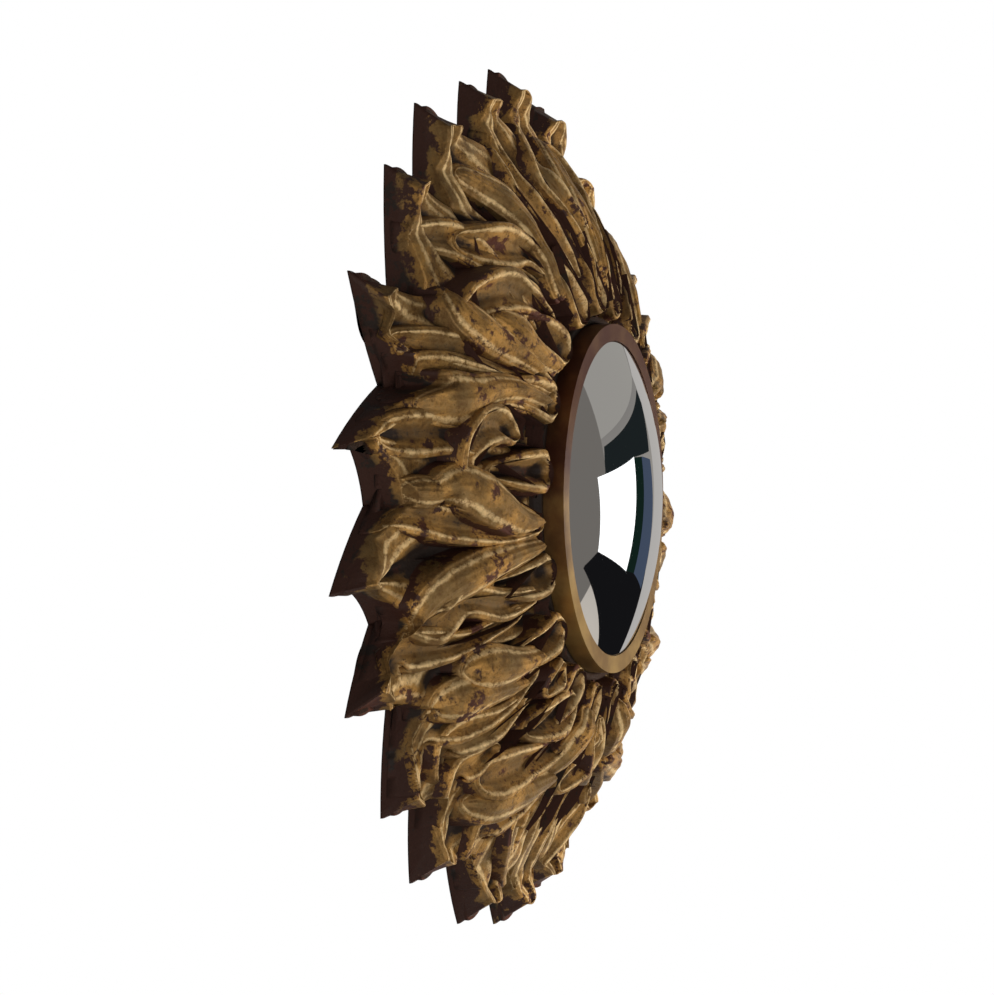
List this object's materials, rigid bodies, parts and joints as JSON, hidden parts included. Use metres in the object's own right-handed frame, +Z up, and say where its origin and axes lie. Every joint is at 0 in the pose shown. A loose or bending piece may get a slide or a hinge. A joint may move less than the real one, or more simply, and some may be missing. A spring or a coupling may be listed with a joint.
{
  "type": "convex butlers mirror",
  "caption": "Round convex wall mirror in a plain brass ring, set in a deep gilded frame of carved leaves that fan outwards to blunt hooked tips.",
  "frame": {"origin": "centre of the mirror's axis in the flat back plane of the cast frame, which its felt pads hold 2 mm off the wall", "axes": "+Z up as the mirror hangs; +Y out of the back into the wall; the glass faces -Y; +X to the right of someone who faces the glass"},
  "size_m": [0.5224, 0.1003, 0.535],
  "materials": {
    "gilded_resin": "antiqued gold leaf on cast resin, dark in the hollows and rubbed bright on the edges",
    "brass_ring": "aged bronze-gold brass, satin",
    "mirror_glass": "silvered domed glass",
    "felt": "dark wool felt",
    "hardboard": "brown hardboard, smooth face",
    "steel_screw": "zinc-plated steel",
    "brassed_steel": "brass-plated steel, satin"
  },
  "bodies": {
    "frame": {"leaf_frame": "gilded_resin", "mirror_ring": "brass_ring", "convex_mirror": "mirror_glass", "packing_ring": "felt", "backing_board": "hardboard", "turn_button_screws": "steel_screw", "hanger_plate": "brassed_steel", "hanger_screws": "steel_screw", "bumper_pads": "felt"},
    "turn_button_1": {"turn_button_1": "brassed_steel"},
    "turn_button_2": {"turn_button_2": "brassed_steel"},
    "turn_button_3": {"turn_button_3": "brassed_steel"},
    "turn_button_4": {"turn_button_4": "brassed_steel"},
    "hanger_ring": {"hanger_ring": "brassed_steel"}
  },
  "joints": [
    {"name": "turn_button_1_turn", "type": "hinge", "parent": "frame", "child": "turn_button_1", "pos_m": [0.1145, -0.05415, 0], "axis": [0, 1, 0], "range_deg": [-90, 90]},
    {"name": "turn_button_2_turn", "type": "hinge", "parent": "frame", "child": "turn_button_2", "pos_m": [0, -0.05415, 0.1145], "axis": [0, 1, 0], "range_deg": [-90, 90]},
    {"name": "turn_button_3_turn", "type": "hinge", "parent": "frame", "child": "turn_button_3", "pos_m": [-0.1145, -0.05415, 0], "axis": [0, 1, 0], "range_deg": [-90, 90]},
    {"name": "turn_button_4_turn", "type": "hinge", "parent": "frame", "child": "turn_button_4", "pos_m": [0, -0.05415, -0.1145], "axis": [0, 1, 0], "range_deg": [-90, 90]},
    {"name": "hanger_swing", "type": "hinge", "parent": "frame", "child": "hanger_ring", "pos_m": [0, -0.00522, 0.168], "axis": [1, 0, 0], "range_deg": [0, 180]}
  ]
}
